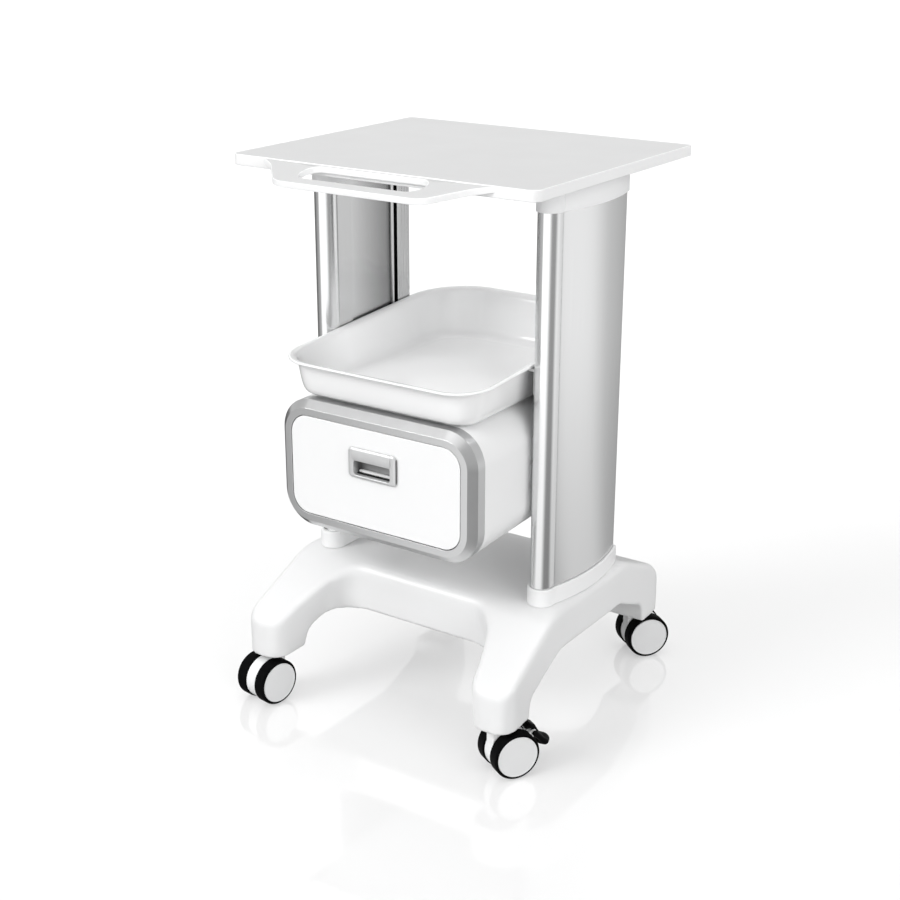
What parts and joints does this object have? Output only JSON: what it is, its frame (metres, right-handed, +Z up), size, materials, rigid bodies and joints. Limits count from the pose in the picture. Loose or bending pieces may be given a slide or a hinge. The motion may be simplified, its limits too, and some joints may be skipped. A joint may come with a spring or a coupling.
{
  "type": "instrument cart",
  "caption": "White wheeled instrument cart with a table and hand rail on aluminium columns, a deep open tray, a drawer in a silver frame and a four-legged base on twin-wheel casters.",
  "frame": {"origin": "on the floor under the middle of the table", "axes": "+Z up, +X to the right of the cart seen from its front, +Y to its rear; the hand rail and drawer front face -Y"},
  "size_m": [0.5362, 0.5938, 0.883],
  "materials": {
    "white_plastic": "smooth satin-gloss white moulding",
    "table_plastic": "fine matte white table surface",
    "tray_plastic": "high gloss white",
    "column_metal": "satin anodised extrusion",
    "silver_trim": "silver painted moulding",
    "cap_plastic": "light grey moulding",
    "bare_steel": "plain bright steel",
    "grey_paint": "grey powder coat",
    "hub_plastic": "light grey moulding",
    "tread_rubber": "black soft tread",
    "black_plastic": "black moulding"
  },
  "bodies": {
    "cart": {"base_cover": "white_plastic", "chassis": "grey_paint", "table_top": "table_plastic", "tray": "tray_plastic", "drawer_case": "white_plastic", "drawer_bezel": "silver_trim", "column_left": "column_metal", "column_cover_left": "column_metal", "boot_left": "white_plastic", "cap_left": "cap_plastic", "case_bracket_left": "bare_steel", "tray_bracket_left": "bare_steel", "rail_outer_left": "bare_steel", "column_right": "column_metal", "column_cover_right": "column_metal", "boot_right": "white_plastic", "cap_right": "cap_plastic", "case_bracket_right": "bare_steel", "tray_bracket_right": "bare_steel", "rail_outer_right": "bare_steel", "stem_front_left": "bare_steel", "stem_front_right": "bare_steel", "stem_rear_left": "bare_steel", "stem_rear_right": "bare_steel"},
    "drawer": {"drawer_box": "white_plastic", "drawer_front": "white_plastic", "drawer_pull": "silver_trim", "rail_inner_left": "bare_steel", "rail_inner_right": "bare_steel"},
    "caster_front_left": {"housing_front_left": "white_plastic", "axle_front_left": "bare_steel"},
    "wheel_front_left_a": {"tread_front_left_a": "tread_rubber", "hub_front_left_a": "hub_plastic"},
    "wheel_front_left_b": {"tread_front_left_b": "tread_rubber", "hub_front_left_b": "hub_plastic"},
    "caster_front_right": {"housing_front_right": "white_plastic", "axle_front_right": "bare_steel", "brake_pin": "bare_steel"},
    "wheel_front_right_a": {"tread_front_right_a": "tread_rubber", "hub_front_right_a": "hub_plastic"},
    "wheel_front_right_b": {"tread_front_right_b": "tread_rubber", "hub_front_right_b": "hub_plastic"},
    "brake": {"brake_pedal": "black_plastic"},
    "caster_rear_left": {"housing_rear_left": "white_plastic", "axle_rear_left": "bare_steel"},
    "wheel_rear_left_a": {"tread_rear_left_a": "tread_rubber", "hub_rear_left_a": "hub_plastic"},
    "wheel_rear_left_b": {"tread_rear_left_b": "tread_rubber", "hub_rear_left_b": "hub_plastic"},
    "caster_rear_right": {"housing_rear_right": "white_plastic", "axle_rear_right": "bare_steel"},
    "wheel_rear_right_a": {"tread_rear_right_a": "tread_rubber", "hub_rear_right_a": "hub_plastic"},
    "wheel_rear_right_b": {"tread_rear_right_b": "tread_rubber", "hub_rear_right_b": "hub_plastic"}
  },
  "joints": [
    {"name": "drawer_slide", "type": "slide", "parent": "cart", "child": "drawer", "axis": [0, -1, 0], "range_m": [0, 0.26]},
    {"name": "swivel_front_left", "type": "hinge", "parent": "cart", "child": "caster_front_left", "pos_m": [-0.2164, -0.232, 0.0785], "axis": [0, 0, 1], "continuous": true},
    {"name": "spin_front_left_a", "type": "hinge", "parent": "caster_front_left", "child": "wheel_front_left_a", "pos_m": [-0.21914, -0.24979, 0.0375], "axis": [0.9884, -0.1521, 0], "continuous": true},
    {"name": "spin_front_left_b", "type": "hinge", "parent": "caster_front_left", "child": "wheel_front_left_b", "pos_m": [-0.21914, -0.24979, 0.0375], "axis": [0.9884, -0.1521, 0], "continuous": true},
    {"name": "swivel_front_right", "type": "hinge", "parent": "cart", "child": "caster_front_right", "pos_m": [0.2164, -0.232, 0.0785], "axis": [0, 0, 1], "continuous": true},
    {"name": "spin_front_right_a", "type": "hinge", "parent": "caster_front_right", "child": "wheel_front_right_a", "pos_m": [0.22559, -0.21652, 0.0375], "axis": [-0.8599, 0.5105, 0], "continuous": true},
    {"name": "spin_front_right_b", "type": "hinge", "parent": "caster_front_right", "child": "wheel_front_right_b", "pos_m": [0.22559, -0.21652, 0.0375], "axis": [-0.8599, 0.5105, 0], "continuous": true},
    {"name": "brake_press", "type": "hinge", "parent": "caster_front_right", "child": "brake", "pos_m": [0.24525, -0.18342, 0.059], "axis": [-0.8599, 0.5105, 0], "range_deg": [0, 12]},
    {"name": "swivel_rear_left", "type": "hinge", "parent": "cart", "child": "caster_rear_left", "pos_m": [-0.197, 0.234, 0.0785], "axis": [0, 0, 1], "continuous": true},
    {"name": "spin_rear_left_a", "type": "hinge", "parent": "caster_rear_left", "child": "wheel_rear_left_a", "pos_m": [-0.18939, 0.25031, 0.0375], "axis": [-0.9063, 0.4226, 0], "continuous": true},
    {"name": "spin_rear_left_b", "type": "hinge", "parent": "caster_rear_left", "child": "wheel_rear_left_b", "pos_m": [-0.18939, 0.25031, 0.0375], "axis": [-0.9063, 0.4226, 0], "continuous": true},
    {"name": "swivel_rear_right", "type": "hinge", "parent": "cart", "child": "caster_rear_right", "pos_m": [0.197, 0.234, 0.0785], "axis": [0, 0, 1], "continuous": true},
    {"name": "spin_rear_right_a", "type": "hinge", "parent": "caster_rear_right", "child": "wheel_rear_right_a", "pos_m": [0.2084, 0.24793, 0.0375], "axis": [-0.7738, 0.6334, 0], "continuous": true},
    {"name": "spin_rear_right_b", "type": "hinge", "parent": "caster_rear_right", "child": "wheel_rear_right_b", "pos_m": [0.2084, 0.24793, 0.0375], "axis": [-0.7738, 0.6334, 0], "continuous": true}
  ]
}
